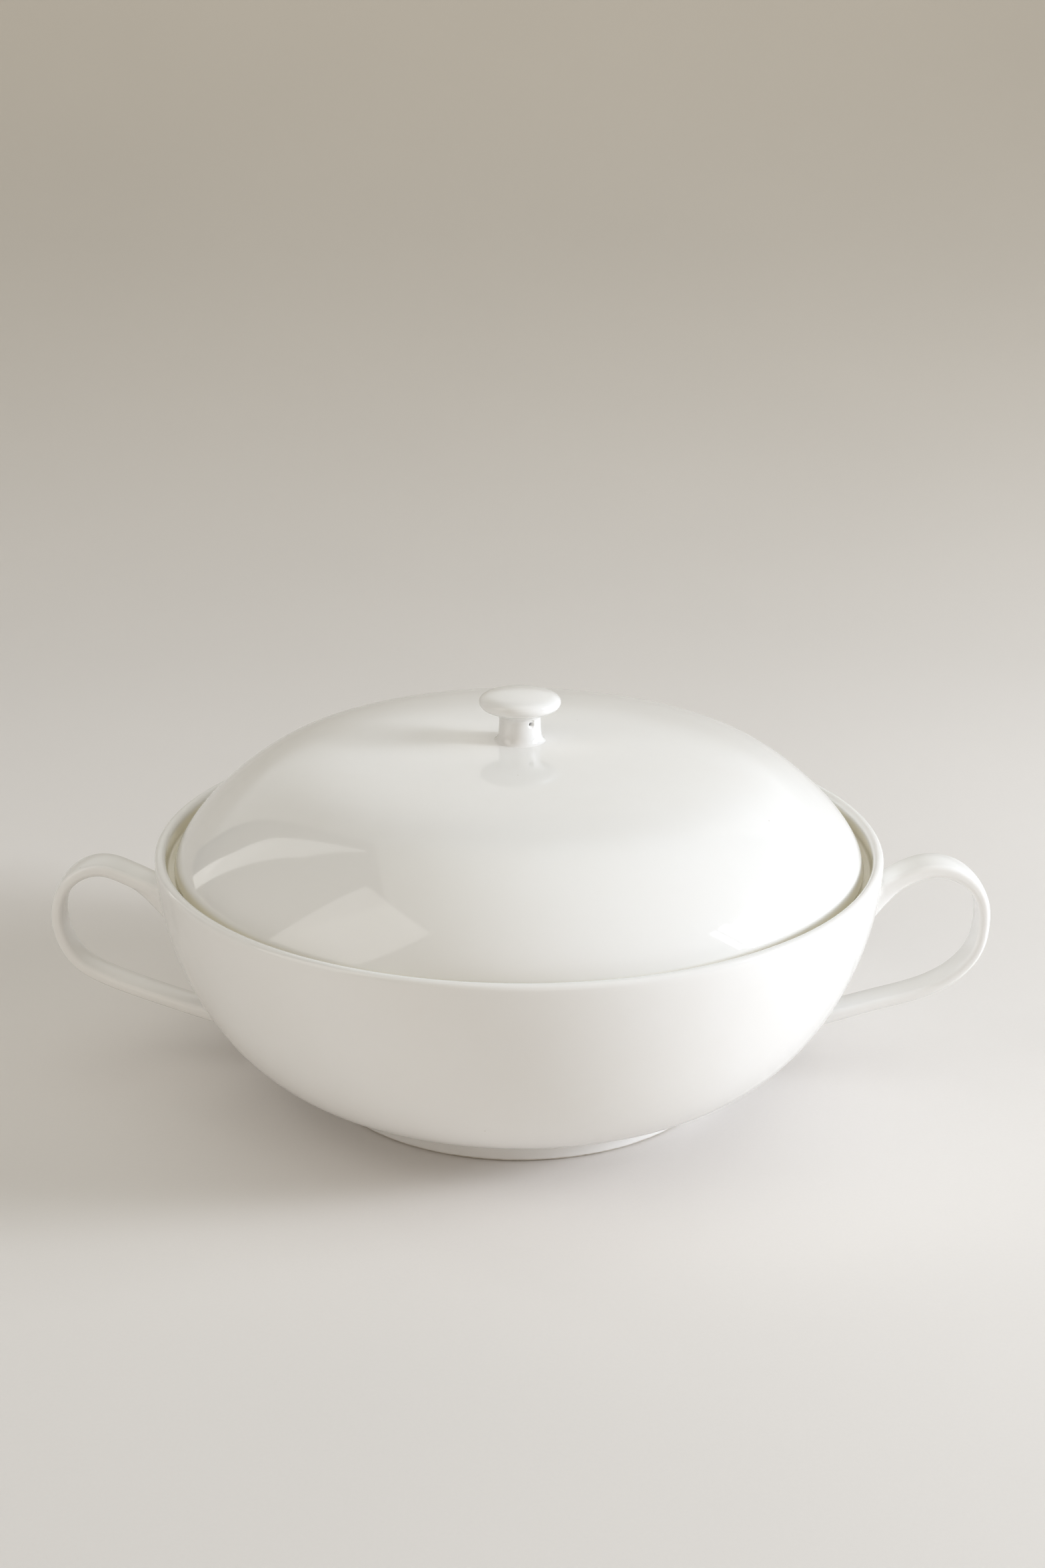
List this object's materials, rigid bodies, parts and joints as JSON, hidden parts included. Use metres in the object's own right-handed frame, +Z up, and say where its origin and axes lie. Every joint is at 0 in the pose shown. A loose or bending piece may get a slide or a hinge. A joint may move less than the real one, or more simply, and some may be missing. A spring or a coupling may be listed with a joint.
{
  "type": "soup tureen",
  "caption": "Round footed china soup tureen with strap loop handles and a lift-off domed lid that sits inside the rim and carries a button knob.",
  "frame": {"origin": "on the bowl's axis, in the plane that the foot ring stands on", "axes": "+Z up through the knob, +X along the handles towards the right handle, -Y towards the front"},
  "size_m": [0.3418, 0.26, 0.1458],
  "materials": {
    "china_glaze": "clear gloss glaze over white bone china",
    "foot_china": "glazed wall with a bare, ground standing edge"
  },
  "bodies": {
    "tureen": {"bowl": "china_glaze", "foot_ring": "foot_china", "left_handle": "china_glaze", "right_handle": "china_glaze"},
    "cover": {"lid": "china_glaze", "lid_flange": "china_glaze", "knob": "china_glaze"}
  },
  "joints": [
    {"name": "lid_lift", "type": "slide", "parent": "tureen", "child": "cover", "axis": [0, 0, 1], "range_m": [0, 0.15]}
  ]
}
